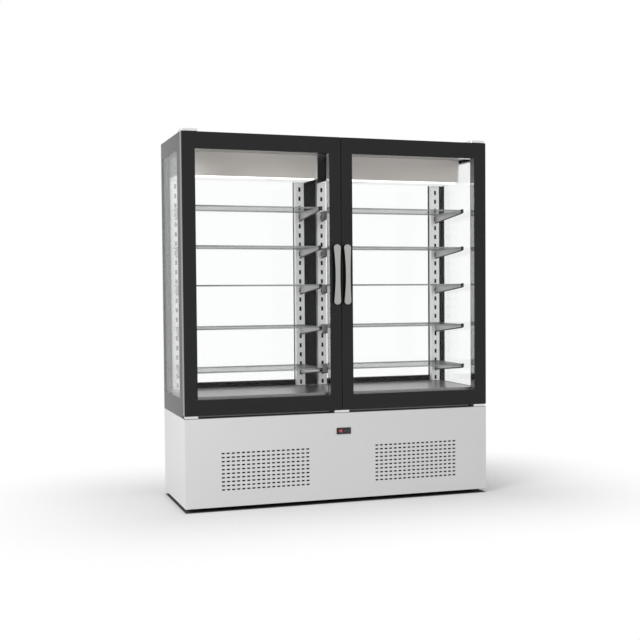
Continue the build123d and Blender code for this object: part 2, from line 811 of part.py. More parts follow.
def all_pieces():
    """Every node with its solid or group of solids."""
    pieces = {
        "base_chassis": base_chassis(),
        "base_front_panel": base_front_panel(),
        "base_left_panel": base_side_panel(),
        "base_right_panel": mirrored(base_side_panel()),
        "base_rear_panel": base_rear_panel(),
        "levelling_feet": levelling_feet(),
        "power_inlet": power_inlet(),
        "compressor": compressor(),
        "condenser_coil": condenser_coil(),
        "fan_shroud": fan_shroud(),
        "condenser_fan": condenser_fan(),
        "condensate_tray": condensate_tray(),
        "deck": deck(),
        "top_panel": top_panel(),
        "left_side_frame": side_frame(),
        "right_side_frame": mirrored(side_frame()),
        "side_glass": Compound(children=side_glass() + [mirrored(pane) for pane in side_glass()]),
        "rear_frame": rear_frame(),
        "rear_glass": rear_glass(),
        "left_header": header_cover(),
        "right_header": mirrored(header_cover()),
        "evaporator_coils": evaporator_coils(),
        "left_evaporator_fan": evaporator_fan(),
        "right_evaporator_fan": mirrored(evaporator_fan()),
        "light_strips": light_strips(),
        "top_hinge_plates": both(top_hinge_plate()),
        "bottom_hinge_plates": both(bottom_hinge_plate()),
        "door_catch": door_catch(),
        "controller_housing": controller_housing(),
        "controller_display": controller_display(),
    }
    for index in range(key_count):
        pieces[f"controller_key_{index + 1}"] = controller_key(index)
    makers = {
        "frame": door_frame,
        "edge_trim": door_edge_trim,
        "spacer": door_spacer,
        "gasket": door_gasket,
        "handle": door_handle,
    }
    for name, maker in makers.items():
        pieces[f"left_door_{name}"] = maker()
        pieces[f"right_door_{name}"] = mirrored(maker())
    pieces["left_door_glass"] = door_glass()
    pieces["right_door_glass"] = mirrored(door_glass())
    uprights = [slotted_standard(side * x) for side in (-1, 1) for x in (inner_standard_x, outer_standard_x)]
    pieces["slotted_standards"] = Compound(children=uprights)
    caps = []
    for bay, side in (("left", -1), ("right", 1)):
        arms = []
        for x in (inner_standard_x, outer_standard_x):
            arms += [shelf_bracket(side * x, top) for top in shelf_tops]
            caps += [bracket_end_cap(side * x, top) for top in shelf_tops]
        pieces[f"{bay}_shelf_brackets"] = Compound(children=arms)
        for level, top in enumerate(shelf_tops, start=1):
            pieces[f"{bay}_shelf_{level}"] = shelf(side, top)
    pieces["bracket_end_caps"] = Compound(children=caps)
    return pieces


def main():
    """Write one file for each node."""
    os.makedirs("parts", exist_ok=True)
    for name, piece in all_pieces().items():
        export_step(piece, f"parts/{name}.step")


if __name__ == "__main__":
    main()
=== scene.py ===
"""Looks of a refrigerated display case with two hinged glass doors.

Everything is in metres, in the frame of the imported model: +Z up, the doors face -Y.
"""
import json
import math
import bpy
from mathutils import Matrix, Vector


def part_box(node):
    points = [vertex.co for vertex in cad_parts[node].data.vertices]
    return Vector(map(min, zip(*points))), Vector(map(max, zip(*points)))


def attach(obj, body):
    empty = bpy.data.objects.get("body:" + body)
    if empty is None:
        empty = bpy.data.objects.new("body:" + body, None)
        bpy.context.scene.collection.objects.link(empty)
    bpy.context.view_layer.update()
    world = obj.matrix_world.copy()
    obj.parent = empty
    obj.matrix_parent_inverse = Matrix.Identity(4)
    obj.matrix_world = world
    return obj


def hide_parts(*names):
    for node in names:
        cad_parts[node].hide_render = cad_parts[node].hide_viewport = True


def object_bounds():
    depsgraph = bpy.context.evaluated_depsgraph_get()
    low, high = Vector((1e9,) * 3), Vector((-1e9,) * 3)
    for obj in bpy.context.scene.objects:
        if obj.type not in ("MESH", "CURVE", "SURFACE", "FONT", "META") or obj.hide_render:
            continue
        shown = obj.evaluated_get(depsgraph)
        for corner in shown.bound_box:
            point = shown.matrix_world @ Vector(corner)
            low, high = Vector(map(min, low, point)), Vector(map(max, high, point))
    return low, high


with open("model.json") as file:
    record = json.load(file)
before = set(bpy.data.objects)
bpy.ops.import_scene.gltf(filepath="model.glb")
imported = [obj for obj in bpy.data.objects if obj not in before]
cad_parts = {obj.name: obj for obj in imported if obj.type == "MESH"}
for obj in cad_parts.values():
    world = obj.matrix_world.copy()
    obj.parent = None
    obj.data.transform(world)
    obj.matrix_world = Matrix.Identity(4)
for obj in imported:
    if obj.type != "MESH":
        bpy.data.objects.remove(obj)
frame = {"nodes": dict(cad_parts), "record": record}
cad_low, cad_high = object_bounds()

bl_info = {
    "name": "Glass display case",
    "version": (1, 0, 0),
    "blender": (4, 5, 0),
    "location": "View3D > Sidebar > Display case",
    "description": "Builds the finishes, the small pieces and the stage of a glass display case",
    "category": "Object",
}

MM = 0.001

# Plain linear colours, and the dark seal on the cut edges of double glazing
WHITE = (1.0, 1.0, 1.0, 1.0)
BLACK = (0.0, 0.0, 0.0, 1.0)
SEALED_EDGE = (0.025, 0.028, 0.027, 1.0)

# Brushing of metal, as noise scales along X, Y and Z
UPRIGHT_BRUSHING = (1300.0, 1300.0, 40.0)
LENGTHWISE_BRUSHING = (30.0, 1400.0, 1400.0)

# Outputs of the Texture Coordinate and Light Path nodes
NORMAL_OUTPUT, OBJECT_OUTPUT = 1, 3
CAMERA_RAY, GLOSSY_RAY, TRANSMISSION_RAY = 0, 3, 6

SHELF_LEVELS = (1, 2, 3, 4, 5)

# Corners of CAD pieces that new pieces line up with
panel_low, panel_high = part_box("base_front_panel")
rear_low, rear_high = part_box("base_rear_panel")
display_low, display_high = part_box("controller_display")


class CaseColours(bpy.types.PropertyGroup):
    """Colours of the finishes, as linear values."""
    border: bpy.props.FloatVectorProperty(
        name="Printed border", description="Black print under the door and wall glass",
        subtype="COLOR", size=3, default=(0.008, 0.008, 0.0085))
    base_paint: bpy.props.FloatVectorProperty(
        name="Base paint", description="Light grey paint of the base sheets",
        subtype="COLOR", size=3, default=(0.66, 0.66, 0.665))
    header_paint: bpy.props.FloatVectorProperty(
        name="Header paint", description="Warm grey paint of the header covers",
        subtype="COLOR", size=3, default=(0.87, 0.82, 0.775))
    steel: bpy.props.FloatVectorProperty(
        name="Inner steel", description="Brushed steel of brackets and inner panels",
        subtype="COLOR", size=3, default=(0.62, 0.62, 0.615))
    handle: bpy.props.FloatVectorProperty(
        name="Handle metal", description="Satin metal of the door handles",
        subtype="COLOR", size=3, default=(0.40, 0.395, 0.385))
    trim: bpy.props.FloatVectorProperty(
        name="Trim metal", description="Metal of the edge profiles",
        subtype="COLOR", size=3, default=(0.235, 0.238, 0.241))
    digits: bpy.props.FloatVectorProperty(
        name="Digits", description="Lit segments of the temperature display",
        subtype="COLOR", size=3, default=(1.0, 0.11, 0.14))


class CaseSizes(bpy.types.PropertyGroup):
    """Sizes of the pieces that are modelled here."""
    slot_columns: bpy.props.IntProperty(
        name="Slot columns", description="Slots in a row of one field", default=18)
    slot_rows: bpy.props.IntProperty(
        name="Slot rows", description="Rows of slots in one field", default=10)
    slot_length: bpy.props.FloatProperty(
        name="Slot length", description="End to end length of a slot", unit="LENGTH", default=17 * MM)
    slot_height: bpy.props.FloatProperty(
        name="Slot height", description="Height of a slot", unit="LENGTH", default=8 * MM)
    slot_pitch_x: bpy.props.FloatProperty(
        name="Slot pitch across", description="Distance between columns", unit="LENGTH", default=25.3 * MM)
    slot_pitch_z: bpy.props.FloatProperty(
        name="Slot pitch up", description="Distance between rows", unit="LENGTH", default=19.9 * MM)
    field_x: bpy.props.FloatProperty(
        name="Field distance", description="Middle of a slot field from the middle of the case",
        unit="LENGTH", default=399 * MM)
    field_z: bpy.props.FloatProperty(
        name="Field height", description="Middle of a slot field above the floor",
        unit="LENGTH", default=194 * MM)
    # The pads behind the slots are dark sheets that stand in for the shade inside the base: painted shade
    shade_pad_gap: bpy.props.FloatProperty(
        name="Filter gap", description="Room between the front sheet and the filters", unit="LENGTH",
        default=1 * MM)
    shade_pad_depth: bpy.props.FloatProperty(
        name="Filter depth", description="Thickness of the dust filters", unit="LENGTH", default=6 * MM)
    shade_pad_edge: bpy.props.FloatProperty(
        name="Filter edge", description="Bevel of the dust filters", unit="LENGTH", default=1 * MM)
    edge_bevel: bpy.props.FloatProperty(
        name="Sheet bend", description="Rounding of the bent sheet edges", unit="LENGTH", default=0.7 * MM)
    digit_height: bpy.props.FloatProperty(
        name="Digit height", description="Height of a digit in the display", unit="LENGTH", default=12 * MM)
    end_plate_width: bpy.props.FloatProperty(
        name="End plate width", description="Width of the folded edge of a header's end plate",
        unit="LENGTH", default=8 * MM)
    end_plate_lip: bpy.props.FloatProperty(
        name="End plate lip", description="How far the end plates stand out", unit="LENGTH", default=2 * MM)
    flange_width: bpy.props.FloatProperty(
        name="Bracket flange", description="Width of the flange of a bracket", unit="LENGTH",
        default=16 * MM)
    bracket_tip: bpy.props.FloatProperty(
        name="Bracket tip", description="Height of a bracket at its tip", unit="LENGTH", default=10 * MM)
    bracket_root: bpy.props.FloatProperty(
        name="Bracket root", description="Height of a bracket at the standard", unit="LENGTH",
        default=44 * MM)
    # The strips along the brackets' lower edges stand in for the shade under the brackets: painted shade
    shade_strip_size: bpy.props.FloatProperty(
        name="Edging size", description="Width and height of the edging", unit="LENGTH", default=6 * MM)
    handle_band: bpy.props.FloatProperty(
        name="Handle band", description="Thickness of the handle's band", unit="LENGTH", default=6 * MM)
    handle_bow: bpy.props.FloatProperty(
        name="Handle bow", description="How far the ends lie behind the middle", unit="LENGTH",
        default=10 * MM)
    handle_waist: bpy.props.FloatProperty(
        name="Handle waist", description="Width of the waist as a share of the ends", default=0.66)
    handle_rows: bpy.props.IntProperty(
        name="Handle rows", description="Rows of points on half a handle", default=12)
    handle_edge: bpy.props.FloatProperty(
        name="Handle edge", description="Rounding of the band's edges", unit="LENGTH", default=1.1 * MM)
    handle_post_radius: bpy.props.FloatProperty(
        name="Handle post radius", description="Radius of the posts", unit="LENGTH", default=6 * MM)
    handle_post_spacing: bpy.props.FloatProperty(
        name="Handle post spacing", description="Distance between the posts", unit="LENGTH",
        default=236 * MM)
    digit_pitch: bpy.props.FloatProperty(
        name="Digit pitch", description="Distance between the digits", unit="LENGTH", default=8.5 * MM)
    digit_lift: bpy.props.FloatProperty(
        name="Digit lift", description="How far the digits stand out of the window", unit="LENGTH",
        default=0.12 * MM)
    digit_shift: bpy.props.FloatProperty(
        name="Digit shift", description="How far the digits sit right of the window's middle",
        unit="LENGTH", default=3 * MM)
    screw_radius: bpy.props.FloatProperty(
        name="Screw head radius", description="Radius of the panel screws", unit="LENGTH", default=4.5 * MM)
    screw_height: bpy.props.FloatProperty(
        name="Screw head height", description="Height of the panel screws", unit="LENGTH", default=1.5 * MM)
    screw_sunk: bpy.props.FloatProperty(
        name="Screw sunk share", description="Share of a rear screw's head that lies in the sheet",
        default=0.9)
    screw_inset: bpy.props.FloatProperty(
        name="Screw inset", description="Distance of the screws from the edges", unit="LENGTH",
        default=14 * MM)
    rear_screw_columns: bpy.props.IntProperty(
        name="Rear screw columns", description="Screws in a row of the rear sheet", default=6)
    plate_screw_pitch: bpy.props.FloatProperty(
        name="Plate screw pitch", description="Distance between the screws of a hinge plate",
        unit="LENGTH", default=36 * MM)


class CaseStage(bpy.types.PropertyGroup):
    """Camera and light."""
    camera_place: bpy.props.FloatVectorProperty(
        name="Camera place", description="Where the camera stands", subtype="TRANSLATION", size=3,
        default=(-1.799, -5.910, 1.098))
    focal_pixels: bpy.props.FloatProperty(
        name="Focal length in pixels", description="Focal length for the frame's width", default=1166.4)
    turn: bpy.props.FloatProperty(
        name="Turn", description="How far the camera looks to the right", subtype="ANGLE",
        default=math.radians(20.59))
    dip: bpy.props.FloatProperty(
        name="Dip", description="How far the camera looks down", subtype="ANGLE",
        default=math.radians(2.39))
    roll: bpy.props.FloatProperty(
        name="Roll", description="Roll about the line of sight", subtype="ANGLE",
        default=math.radians(-0.29))
    shift: bpy.props.FloatVectorProperty(
        name="Shift", description="Lens shift in frame widths", size=2, default=(-0.125, 0.0234))
    sky: bpy.props.FloatProperty(
        name="Sky light", description="Strength of the even light on the object", default=0.57)
    key: bpy.props.FloatProperty(
        name="Key light", description="Power of the light from the left, in watts", default=230.0)
    shadow_reach: bpy.props.FloatProperty(
        name="Shadow reach", description="Distance over which the floor turns white", unit="LENGTH",
        default=1.15)
    fill: bpy.props.FloatProperty(
        name="Fill light", description="Power of the light from the right, in watts", default=45.0)
    key_place: bpy.props.FloatVectorProperty(
        name="Key place", description="Where the light from the left stands", subtype="TRANSLATION",
        size=3, default=(-4.8, -3.4, 3.4))
    fill_place: bpy.props.FloatVectorProperty(
        name="Fill place", description="Where the light from the right stands", subtype="TRANSLATION",
        size=3, default=(6.2, -2.6, 2.4))
    key_size: bpy.props.FloatProperty(
        name="Key size", description="Side of the light from the left", unit="LENGTH", default=3.2)
    fill_size: bpy.props.FloatProperty(
        name="Fill size", description="Side of the light from the right", unit="LENGTH", default=3.0)
    floor_size: bpy.props.FloatProperty(
        name="Floor size", description="Side of the floor", unit="LENGTH", default=60.0)
    frame_pixels: bpy.props.IntProperty(
        name="Frame pixels", description="Frame width that the focal length is given for", default=640)
    film_width: bpy.props.FloatProperty(
        name="Film width", description="Width of the camera's film, in millimetres", default=36.0)


# Shader maths

class Signal:
    """A node's output that can be used in a Python expression."""

    def __init__(self, graph, socket):
        self.graph = graph
        self.socket = socket

    def maths(self, operation, first, second=None):
        """A Math node with one or two inputs."""
        values = [first] if second is None else [first, second]
        return self.graph.node("ShaderNodeMath", {"operation": operation}, *values)

    def __add__(self, other):
        return self.maths("ADD", self, other)

    def __radd__(self, other):
        return self.maths("ADD", other, self)

    def __sub__(self, other):
        return self.maths("SUBTRACT", self, other)

    def __rsub__(self, other):
        return self.maths("SUBTRACT", other, self)

    def __mul__(self, other):
        return self.maths("MULTIPLY", self, other)

    def __rmul__(self, other):
        return self.maths("MULTIPLY", other, self)

    def __truediv__(self, other):
        return self.maths("DIVIDE", self, other)

    def __pow__(self, other):
        return self.maths("POWER", self, other)

    def __abs__(self):
        return self.maths("ABSOLUTE", self)

    def at_least(self, other):
        """The larger of two values."""
        return self.maths("MAXIMUM", self, other)

    def above(self, level):
        """1 above a level and 0 below it."""
        return self.maths("GREATER_THAN", self, level)

    def clamped(self):
        """The value kept between 0 and 1."""
        return self.graph.node("ShaderNodeClamp", {}, self)


class Graph:
    """The nodes of one material."""

    def __init__(self, name):
        self.material = bpy.data.materials.new(name)
        self.material.use_nodes = True
        self.tree = self.material.node_tree
        self.tree.nodes.clear()

    def node(self, kind, settings, *values, out=0, **named):
        """Adds a node, gives it its settings, then its inputs by order and by name."""
        made = self.tree.nodes.new(kind)
        for key, value in settings.items():
            setattr(made, key, value)
        for index, value in enumerate(values):
            self.feed(made.inputs[index], value)
        for key, value in named.items():
            self.feed(made.inputs[key.replace("_", " ")], value)
        return Signal(self, made.outputs[out])

    def feed(self, socket, value):
        """Links a signal to an input or sets its value."""
        if isinstance(value, Signal):
            self.tree.links.new(value.socket, socket)
        else:
            socket.default_value = value

    def place(self):
        """Coordinates on the piece."""
        return self.node("ShaderNodeTexCoord", {}, out=OBJECT_OUTPUT)

    def faces(self, index):
        """How far the surface faces along an axis of the piece, from -1 to 1."""
        return self.axis(self.node("ShaderNodeTexCoord", {}, out=NORMAL_OUTPUT), index)

    def stretched(self, scale):
        """Coordinates with a scale for each axis."""
        return self.node("ShaderNodeMapping", {}, Vector=self.place(), Scale=scale)

    def noise(self, scale, detail=3.0, vector=None):
        """Noise from 0 to 1."""
        where = vector or self.place()
        return self.node("ShaderNodeTexNoise", {}, Vector=where, Scale=scale, Detail=detail)

    def axis(self, vector, index):
        """One part of a vector."""
        return self.node("ShaderNodeSeparateXYZ", {}, vector, out=index)

    def colour_mix(self, factor, first, second):
        """Colour between two colours, by a factor."""
        made = self.tree.nodes.new("ShaderNodeMix")
        made.data_type = "RGBA"
        self.feed(made.inputs[0], factor)
        self.feed(made.inputs[6], first)
        self.feed(made.inputs[7], second)
        return Signal(self, made.outputs[2])

    def bump(self, height, strength, distance):
        """Normal raised by a height."""
        return self.node("ShaderNodeBump", {}, Height=height, Strength=strength, Distance=distance)

    def finish(self, **values):
        """Principled surface as the material's output."""
        self.out(self.node("ShaderNodeBsdfPrincipled", {}, **values))
        return self.material

    def out(self, shader):
        """Makes a shader the material's surface."""
        output = self.tree.nodes.new("ShaderNodeOutputMaterial")
        self.tree.links.new(shader.socket, output.inputs["Surface"])


# Finishes

def solid(colour, share=1.0):
    """A colour with its opacity, made lighter or darker."""
    return (colour[0] * share, colour[1] * share, colour[2] * share, 1.0)


def printed_border(name, colour, index):
    """Black ceramic print seen under polished glass, with faint wiping marks."""
    g = Graph(name)
    marks = g.noise(3.0, 4.0, g.stretched((1.0, 1.0, 0.35)))
    fine = g.noise(90.0, 2.0)
    shade = g.colour_mix(marks, solid(colour, 0.8), solid(colour, 1.35))
    rough = 0.035 + marks * 0.05 + fine * 0.015
    normal = g.bump(marks, 0.02, 0.002)
    return g.finish(Base_Color=shade, Roughness=rough, Normal=normal, IOR=index)


def clear_glass(name, tint, low_tint, edge_colour, edge_axis, mirror_share):
    """Thin clear pane: transparent, mirror-like and darker at low angles, tinted on its cut edges."""
    g = Graph(name)
    wipe = g.noise(6.0, 4.0)
    mirror = g.node("ShaderNodeBsdfPrincipled", {}, Base_Color=(0.96, 0.97, 0.97, 1.0), Metallic=1.0,
                    Roughness=0.01 + wipe * 0.03)
    facing = g.node("ShaderNodeLayerWeight", {}, Blend=0.5, out=1) ** 5.0
    straight = g.node("ShaderNodeBsdfTransparent", {}, Color=tint)
    slanting = g.node("ShaderNodeBsdfTransparent", {}, Color=low_tint)
    through = g.node("ShaderNodeMixShader", {}, facing, straight, slanting)
    reflect = 0.005 + facing * mirror_share
    face = g.node("ShaderNodeMixShader", {}, reflect, through, mirror)
    cut = g.node("ShaderNodeBsdfPrincipled", {}, Base_Color=edge_colour, Roughness=0.12)
    edge = 1.0 - abs(g.faces(edge_axis))
    g.out(g.node("ShaderNodeMixShader", {}, edge.above(0.5) * 0.85, face, cut))
    return g.material


def brushed_metal(name, colour, grain, roughness, metallic=1.0):
    """Brushed metal with fine lines; grain is the scale along each axis."""
    g = Graph(name)
    lines = g.noise(1.0, 2.0, g.stretched(grain))
    cloud = g.noise(4.0, 3.0)
    shade = g.colour_mix(lines * 0.7 + cloud * 0.3, solid(colour, 0.86), solid(colour, 1.1))
    rough = roughness - 0.05 + lines * 0.08 + cloud * 0.04
    return g.finish(Base_Color=shade, Metallic=metallic, Roughness=rough,
                    Normal=g.bump(lines, 0.12, 0.0002))


def polished_metal(name, colour):
    """Polished profile with slight waviness."""
    g = Graph(name)
    wave = g.noise(5.0, 2.0)
    return g.finish(Base_Color=g.colour_mix(wave, solid(colour, 0.94), solid(colour)), Metallic=1.0,
                    Roughness=0.05 + wave * 0.06, Normal=g.bump(wave, 0.05, 0.001))


def sheet_paint(name, colour, roughness, peel):
    """Baked paint on sheet steel: fine orange peel and a faint cloudiness."""
    g = Graph(name)
    grain = g.noise(900.0, 2.0)
    cloud = g.noise(2.2, 3.0)
    shade = g.colour_mix(cloud, solid(colour, 0.965), solid(colour, 1.02))
    rough = roughness + cloud * 0.06 + grain * 0.04
    return g.finish(Base_Color=shade, Roughness=rough, Normal=g.bump(grain, peel, 0.0003),
                    Coat_Weight=0.08, Coat_Roughness=0.2)


def header_paint(name, colour, lit_underside):
    """Warm grey paint; the face that looks down is white and glows, as painted light from the light strip.
    """
    g = Graph(name)
    grain = g.noise(900.0, 2.0)
    cloud = g.noise(2.2, 3.0)
    shade = g.colour_mix(cloud, solid(colour, 0.965), solid(colour, 1.02))
    # The face that looks down gets a white colour and a glow: painted light standing in for the light
    # strip's light on it
    down = (0.0 - g.faces(2)).above(0.9)
    shade = g.colour_mix(down, shade, lit_underside)
    glow = g.colour_mix(down, BLACK, lit_underside)
    return g.finish(Base_Color=shade, Roughness=0.45 + cloud * 0.1, Normal=g.bump(grain, 0.05, 0.0003),
                    Emission_Color=glow, Emission_Strength=0.5)


def moulded(name, colour, roughness, grain_scale=1400.0):
    """Moulded plastic or rubber with a fine matt grain."""
    g = Graph(name)
    grain = g.noise(grain_scale, 2.0)
    cloud = g.noise(12.0, 3.0)
    shade = g.colour_mix(cloud, solid(colour, 0.85), solid(colour, 1.2))
    return g.finish(Base_Color=shade, Roughness=roughness + grain * 0.1, Normal=g.bump(grain, 0.15, 0.0002))


def finned(name, colour):
    """Thin aluminium fins, drawn as fine gaps of painted shade between bright edges."""
    g = Graph(name)
    across = g.axis(g.place(), 0)
    fins_per_metre = 400.0
    # Dark stripes between the fins are painted shade in the gaps
    fin_not_shaded_gap = g.node("ShaderNodeMath", {"operation": "FRACT"}, across * fins_per_metre).above(0.45)
    dust = g.noise(30.0, 3.0)
    shade = g.colour_mix(fin_not_shaded_gap * (0.6 + dust * 0.4), solid(colour, 0.18), solid(colour))
    return g.finish(Base_Color=shade, Metallic=0.85, Roughness=0.35 + dust * 0.2)


def opal_light(name):
    """Lit opal cover with a slightly uneven glow."""
    g = Graph(name)
    cloud = g.noise(20.0, 2.0)
    glow = g.colour_mix(cloud, (1.0, 0.98, 0.93, 1.0), (1.0, 1.0, 0.98, 1.0))
    return g.finish(Base_Color=(0.9, 0.9, 0.88, 1.0), Roughness=0.4, Emission_Color=glow,
                    Emission_Strength=1.3)


def lit_digits(name, colour):
    """Glowing segments, uneven like a real display."""
    g = Graph(name)
    cloud = g.noise(700.0, 2.0)
    glow = g.colour_mix(cloud, solid(colour, 0.8), solid(colour))
    return g.finish(Base_Color=solid(colour, 0.5), Roughness=0.3, Emission_Color=glow,
                    Emission_Strength=1.3)


def make_finishes(colours):
    """Every finish by its name, those of the record's slots and those of single pieces."""
    border = tuple(colours.border)
    steel = tuple(colours.steel)
    trim = tuple(colours.trim)
    return {
        "door_border": printed_border("door_border_print", border, index=1.325),
        "case_border": printed_border("wall_border_print", border, index=1.11),
        "clear_glass": clear_glass("clear_pane", (0.997, 0.998, 0.998, 1.0), (0.97, 0.98, 0.98, 1.0),
                                   SEALED_EDGE, edge_axis=1, mirror_share=0.3),
        "wall_glass": clear_glass("wall_pane", (0.995, 0.997, 0.997, 1.0), (0.96, 0.97, 0.97, 1.0),
                                  SEALED_EDGE, edge_axis=0, mirror_share=0.45),
        "shelf_glass": clear_glass("shelf_pane", (0.975, 0.98, 0.978, 1.0), (0.61, 0.615, 0.61, 1.0),
                                   (0.31, 0.32, 0.318, 1.0), edge_axis=2, mirror_share=0.12),
        "trim": brushed_metal("edge_trim_metal", trim, (60.0, 60.0, 1500.0), 0.5, metallic=0.3),
        "hinge_metal": brushed_metal("hinge_metal", (0.72, 0.725, 0.73), (900.0, 60.0, 60.0), 0.34),
        "polished": polished_metal("polished_reveal", (0.29, 0.29, 0.295)),
        "handle": brushed_metal("handle_metal", tuple(colours.handle), (1600.0, 1600.0, 45.0), 0.42),
        "gasket": moulded("gasket_rubber", (0.012, 0.012, 0.013), 0.55),
        # Near-black foam for the pads behind the slots: painted shade for the inside of the base
        "filter_foam": moulded("filter_foam", (0.004, 0.004, 0.004), 0.9, 500.0),
        "base_paint": sheet_paint("base_sheet_paint", tuple(colours.base_paint), 0.42, 0.06),
        # The white underside colour also sets the header's painted underside glow
        "header_paint": header_paint("header_sheet_paint", tuple(colours.header_paint),
                                     (0.85, 0.85, 0.84, 1.0)),
        "zinc": brushed_metal("zinc_sheet", (0.16, 0.163, 0.167), (40.0, 40.0, 40.0), 0.5),
        "inner_steel": brushed_metal("inner_brushed_steel", steel, UPRIGHT_BRUSHING, 0.30),
        "standard_steel": brushed_metal("standard_steel", (0.9, 0.9, 0.895), UPRIGHT_BRUSHING, 0.42,
                                        metallic=0.35),
        "deck_steel": brushed_metal("deck_steel", (0.30, 0.292, 0.288), LENGTHWISE_BRUSHING, 0.3),
        "end_plate_steel": brushed_metal("end_plate_steel", (0.96, 0.96, 0.955), UPRIGHT_BRUSHING,
                                         0.45, metallic=0.9),
        # Inner steel darkened to 0.62 of its colour: painted shade on the brackets
        "bracket_steel": brushed_metal("bracket_steel", solid(steel, 0.62)[:3], (40.0, 40.0, 1300.0), 0.36),
        "sandwich_panel": brushed_metal("panel_skin_steel", steel, LENGTHWISE_BRUSHING, 0.33),
        "black_plastic": moulded("black_plastic", (0.01, 0.01, 0.0105), 0.38),
        "key_plastic": moulded("key_plastic", (0.05, 0.05, 0.053), 0.42),
        "display": moulded("display_window", (0.018, 0.002, 0.002), 0.08),
        "cap_rubber": moulded("end_cap_rubber", (0.009, 0.009, 0.009), 0.6),
        "compressor_paint": sheet_paint("compressor_paint", (0.012, 0.012, 0.013), 0.3, 0.2),
        "fins": finned("coil_fins", (0.6, 0.6, 0.62)),
        "light": opal_light("opal_light_cover"),
        "digits": lit_digits("display_digits", tuple(colours.digits)),
    }


# Materials by the name of their finish, filled by the Finishes step
finishes = {}

# Pieces that differ from the others of their slot
SPECIAL_FINISHES = {
    "side_glass": "wall_glass",
    "slotted_standards": "standard_steel",
    "deck": "deck_steel",
    # The brackets get the darkened steel: painted shade
    "left_shelf_brackets": "bracket_steel",
    "right_shelf_brackets": "bracket_steel",
}


# Modelling helpers

def only(piece):
    """Makes a piece the only one selected and the active one."""
    bpy.ops.object.select_all(action="DESELECT")
    piece.select_set(True)
    bpy.context.view_layer.objects.active = piece


def settle(piece):
    """Puts the place, turn and size of a piece into its mesh."""
    only(piece)
    bpy.ops.object.transform_apply(location=True, rotation=True, scale=True)


def add_box(name, low, high):
    """A box between two corners."""
    low, high = Vector(low), Vector(high)
    bpy.ops.object.select_all(action="DESELECT")
    bpy.ops.mesh.primitive_cube_add(size=1.0, location=(low + high) / 2, scale=high - low)
    piece = bpy.context.object
    piece.name = name
    settle(piece)
    return piece


def edit(piece, mode):
    """Sets what is selected in a piece, with nothing selected yet."""
    only(piece)
    bpy.ops.object.mode_set(mode="EDIT")
    bpy.ops.mesh.select_mode(type=mode)
    bpy.ops.mesh.select_all(action="DESELECT")
    bpy.ops.object.mode_set(mode="OBJECT")


def choose(piece, kind, test):
    """Selects the vertices, edges or faces that pass a test, ready for an edit operator."""
    edit(piece, {"vertices": "VERT", "edges": "EDGE", "polygons": "FACE"}[kind])
    for element in getattr(piece.data, kind):
        element.select = test(element)
    bpy.ops.object.mode_set(mode="EDIT")


def runs_along(piece, axis):
    """Test for edges that run along an axis."""
    def test(edge):
        first, second = (piece.data.vertices[index].co for index in edge.vertices)
        return abs((second - first).normalized()[axis]) > 0.99
    return test


def close_edit():
    """Ends the edit that choose() has begun."""
    bpy.ops.object.mode_set(mode="OBJECT")


def apply_modifier(piece, kind, **settings):
    """Adds a modifier, sets it and applies it."""
    only(piece)
    modifier = piece.modifiers.new(kind.lower(), kind)
    for key, value in settings.items():
        setattr(modifier, key, value)
    bpy.ops.object.modifier_apply(modifier=modifier.name)


def repeat(piece, count, step):
    """Copies a piece in a row."""
    apply_modifier(piece, "ARRAY", count=count, use_relative_offset=False,
                   use_constant_offset=True, constant_offset_displace=step)


def join(pieces, name):
    """Joins pieces into the first one."""
    bpy.ops.object.select_all(action="DESELECT")
    for piece in pieces:
        piece.select_set(True)
    bpy.context.view_layer.objects.active = pieces[0]
    bpy.ops.object.join()
    pieces[0].name = name
    return pieces[0]


def copy_of(piece, name, offset):
    """A copy with its own mesh, moved by an offset."""
    twin = piece.copy()
    twin.data = piece.data.copy()
    twin.name = name
    twin.data.transform(Matrix.Translation(offset))
    bpy.context.scene.collection.objects.link(twin)
    return twin


def dress(piece, finish, body):
    """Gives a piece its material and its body."""
    piece.data.materials.clear()
    piece.data.materials.append(finishes[finish])
    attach(piece, body)


# Pieces

class DISPLAYCASE_OT_finishes(bpy.types.Operator):
    """Make the materials and give them to the pieces of the frame"""
    bl_idname = "displaycase.finishes"
    bl_label = "Finishes"

    def execute(self, context):
        finishes.update(make_finishes(context.scene.case_colours))
        slots = {part["node"]: part["material_slot"] for part in frame["record"]["subparts"]}
        for name, node in frame["nodes"].items():
            finish = SPECIAL_FINISHES.get(name, slots[name])
            node.data.materials.clear()
            node.data.materials.append(finishes[finish])
        return {"FINISHED"}


def slot_cutter(sizes, centre_x):
    """Field of rounded slots as one solid, to be cut out of the front sheet."""
    middle_y = (panel_low.y + panel_high.y) / 2
    radius = sizes.slot_height / 2
    first_x = centre_x - (sizes.slot_columns - 1) * sizes.slot_pitch_x / 2
    first_z = sizes.field_z - (sizes.slot_rows - 1) * sizes.slot_pitch_z / 2
    bpy.ops.object.select_all(action="DESELECT")
    bpy.ops.mesh.primitive_cylinder_add(
        vertices=16, radius=radius, depth=4 * (panel_high.y - panel_low.y),
        location=(first_x, middle_y, first_z), rotation=(math.pi / 2, 0.0, 0.0))
    cutter = bpy.context.object
    settle(cutter)
    stretch = (sizes.slot_length - sizes.slot_height) / 2
    for side in (-1, 1):
        choose(cutter, "vertices", lambda v: (v.co.x - first_x) * side > radius * 0.01)
        bpy.ops.transform.translate(value=(side * stretch, 0.0, 0.0))
        close_edit()
    repeat(cutter, sizes.slot_columns, (sizes.slot_pitch_x, 0.0, 0.0))
    repeat(cutter, sizes.slot_rows, (0.0, 0.0, sizes.slot_pitch_z))
    return cutter


